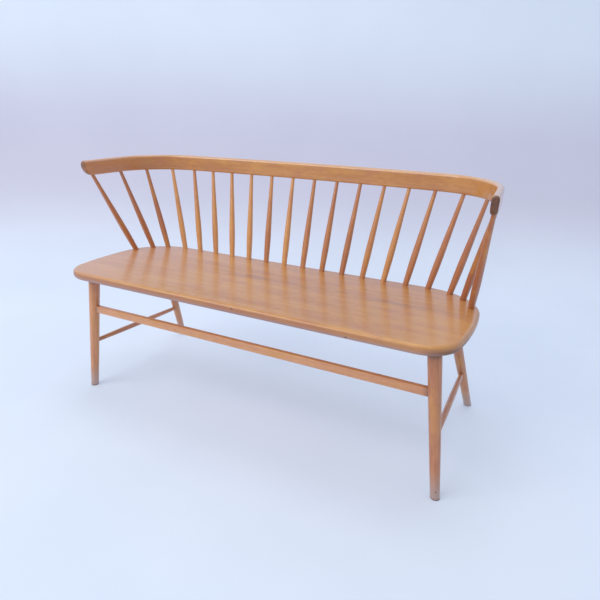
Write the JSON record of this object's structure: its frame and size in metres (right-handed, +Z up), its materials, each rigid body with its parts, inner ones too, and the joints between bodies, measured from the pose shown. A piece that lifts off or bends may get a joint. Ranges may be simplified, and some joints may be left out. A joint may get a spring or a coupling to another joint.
{
  "type": "bench",
  "caption": "Long low-backed wooden bench: rounded plank seat on splayed turned legs, with a fan of spindles under a bent rail that ends in short arms.",
  "frame": {"origin": "centre of the whole bench's bounding box in plan, at the floor", "axes": "+X along the bench, to the right when it is seen from the front, +Y from the seat's front edge towards the back, +Z up"},
  "size_m": [1.2182, 0.5929, 0.7565],
  "materials": {
    "seat_wood": "satin lacquer",
    "spindle_wood": "satin lacquer",
    "rail_wood": "satin lacquer",
    "leg_wood": "satin lacquer",
    "stretcher_wood": "satin lacquer"
  },
  "bodies": {
    "root": {"front_stretcher": "stretcher_wood", "leg_front_left": "leg_wood", "leg_front_right": "leg_wood", "leg_rear_left": "leg_wood", "leg_rear_right": "leg_wood", "seat_board_1": "seat_wood", "seat_board_2": "seat_wood", "seat_board_3": "seat_wood", "seat_board_4": "seat_wood", "side_stretcher_left": "stretcher_wood", "side_stretcher_right": "stretcher_wood", "spindle_01": "spindle_wood", "spindle_02": "spindle_wood", "spindle_03": "spindle_wood", "spindle_04": "spindle_wood", "spindle_05": "spindle_wood", "spindle_06": "spindle_wood", "spindle_07": "spindle_wood", "spindle_08": "spindle_wood", "spindle_09": "spindle_wood", "spindle_10": "spindle_wood", "spindle_11": "spindle_wood", "spindle_12": "spindle_wood", "spindle_13": "spindle_wood", "spindle_14": "spindle_wood", "spindle_15": "spindle_wood", "spindle_16": "spindle_wood", "spindle_17": "spindle_wood", "spindle_18": "spindle_wood", "spindle_19": "spindle_wood", "spindle_20": "spindle_wood", "top_rail": "rail_wood"}
  },
  "joints": []
}
